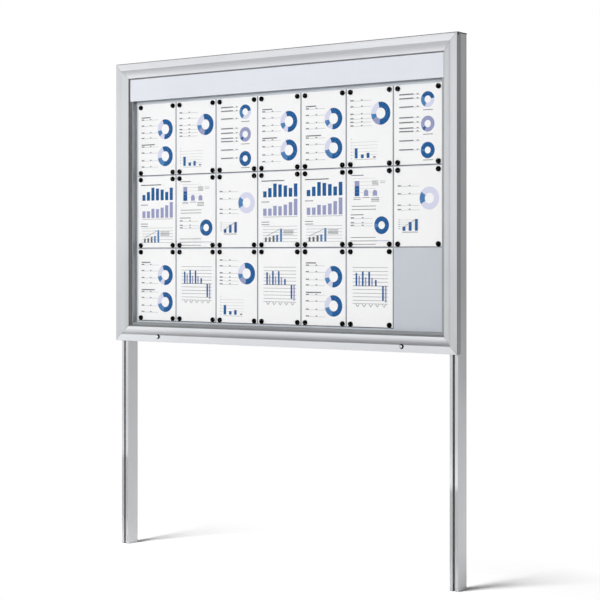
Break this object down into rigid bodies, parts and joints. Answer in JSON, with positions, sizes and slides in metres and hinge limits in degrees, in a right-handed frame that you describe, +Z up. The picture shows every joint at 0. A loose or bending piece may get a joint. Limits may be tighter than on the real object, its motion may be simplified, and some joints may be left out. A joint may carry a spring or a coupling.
{
  "type": "lockable notice board",
  "caption": "Outdoor lockable notice board: glazed top-hinged door with cam locks and gas struts on a shallow case between slotted posts.",
  "frame": {"origin": "ground level, midway between the posts and midway from front to back", "axes": "+Z up, the door faces -Y, +X to the right as seen from the front"},
  "size_m": [1.66, 0.0918, 2.0045],
  "materials": {
    "door_aluminium": "satin anodised",
    "case_aluminium": "satin anodised",
    "post_aluminium": "satin anodised",
    "coated_panel": "smooth stove enamel",
    "header_sheet": "smooth",
    "pane_glass": "clear",
    "glazing_rubber": "matt",
    "seal_rubber": "matt",
    "cap_plastic": "fine moulded grain",
    "paper": "coated paper",
    "lock_chrome": "bright plated",
    "zinc_steel": "bright zinc plated",
    "strut_steel": "satin black",
    "rod_chrome": "hard chrome"
  },
  "bodies": {
    "stand": {"post_left": "post_aluminium", "post_right": "post_aluminium", "post_cap_left": "cap_plastic", "post_cap_right": "cap_plastic", "case_rail_top": "case_aluminium", "case_rail_bottom": "case_aluminium", "case_stile_left": "case_aluminium", "case_stile_right": "case_aluminium", "back_panel": "coated_panel", "slot_bolt_lower_left": "zinc_steel", "slot_bolt_lower_right": "zinc_steel", "slot_bolt_upper_left": "zinc_steel", "slot_bolt_upper_right": "zinc_steel", "hinge_bead_rail": "case_aluminium", "hinge_cap_left": "cap_plastic", "hinge_cap_right": "cap_plastic", "door_seal": "seal_rubber", "strut_case_stud_left": "zinc_steel", "strut_case_stud_right": "zinc_steel", "sheet_r1_c1": "paper", "sheet_r1_c2": "paper", "sheet_r1_c3": "paper", "sheet_r1_c4": "paper", "sheet_r1_c5": "paper", "sheet_r1_c6": "paper", "sheet_r1_c7": "paper", "sheet_r2_c1": "paper", "sheet_r2_c2": "paper", "sheet_r2_c3": "paper", "sheet_r2_c4": "paper", "sheet_r2_c5": "paper", "sheet_r2_c6": "paper", "sheet_r2_c7": "paper", "sheet_r3_c1": "paper", "sheet_r3_c2": "paper", "sheet_r3_c3": "paper", "sheet_r3_c4": "paper", "sheet_r3_c5": "paper", "sheet_r3_c6": "paper"},
    "door": {"door_rail_top": "door_aluminium", "door_rail_bottom": "door_aluminium", "door_stile_left": "door_aluminium", "door_stile_right": "door_aluminium", "glazing_pane": "pane_glass", "glazing_bead": "glazing_rubber", "header_panel": "header_sheet", "hinge_socket_rail": "door_aluminium", "strut_door_bracket_left": "zinc_steel", "strut_door_bracket_right": "zinc_steel", "lock_body_left": "lock_chrome", "lock_body_right": "lock_chrome"},
    "lock_left": {"lock_plug_left": "lock_chrome", "lock_cam_left": "zinc_steel"},
    "lock_right": {"lock_plug_right": "lock_chrome", "lock_cam_right": "zinc_steel"},
    "strut_cylinder_left": {"strut_cylinder_left": "strut_steel"},
    "strut_cylinder_right": {"strut_cylinder_right": "strut_steel"},
    "strut_rod_left": {"strut_rod_left": "rod_chrome"},
    "strut_rod_right": {"strut_rod_right": "rod_chrome"}
  },
  "joints": [
    {"name": "door_hinge", "type": "hinge", "parent": "stand", "child": "door", "pos_m": [0, -0.0316, 1.9975], "axis": [-1, 0, 0], "range_deg": [0, 85]},
    {"name": "lock_turn_left", "type": "hinge", "parent": "door", "child": "lock_left", "pos_m": [-0.595, -0.0404, 0.872], "axis": [0, 1, 0], "range_deg": [0, 90]},
    {"name": "lock_turn_right", "type": "hinge", "parent": "door", "child": "lock_right", "pos_m": [0.595, -0.0404, 0.872], "axis": [0, 1, 0], "range_deg": [0, 90]},
    {"name": "strut_pivot_left", "type": "hinge", "parent": "stand", "child": "strut_cylinder_left", "pos_m": [-0.808, -0.0242, 1.8975], "axis": [-1, 0, 0], "range_deg": [0, 101.3]},
    {"name": "strut_pivot_right", "type": "hinge", "parent": "stand", "child": "strut_cylinder_right", "pos_m": [0.808, -0.0242, 1.8975], "axis": [-1, 0, 0], "range_deg": [0, 101.3]},
    {"name": "strut_slide_left", "type": "slide", "parent": "strut_cylinder_left", "child": "strut_rod_left", "axis": [0, 0, -1], "range_m": [0, 0.112]},
    {"name": "strut_slide_right", "type": "slide", "parent": "strut_cylinder_right", "child": "strut_rod_right", "axis": [0, 0, -1], "range_m": [0, 0.112]}
  ],
  "couplings": [
    {"joint": "strut_pivot_left", "follows": "door_hinge", "ratio": 1.1911},
    {"joint": "strut_pivot_right", "follows": "door_hinge", "ratio": 1.1911},
    {"joint": "strut_slide_left", "follows": "door_hinge", "m_per_rad": 0.075436},
    {"joint": "strut_slide_right", "follows": "door_hinge", "m_per_rad": 0.075436}
  ]
}
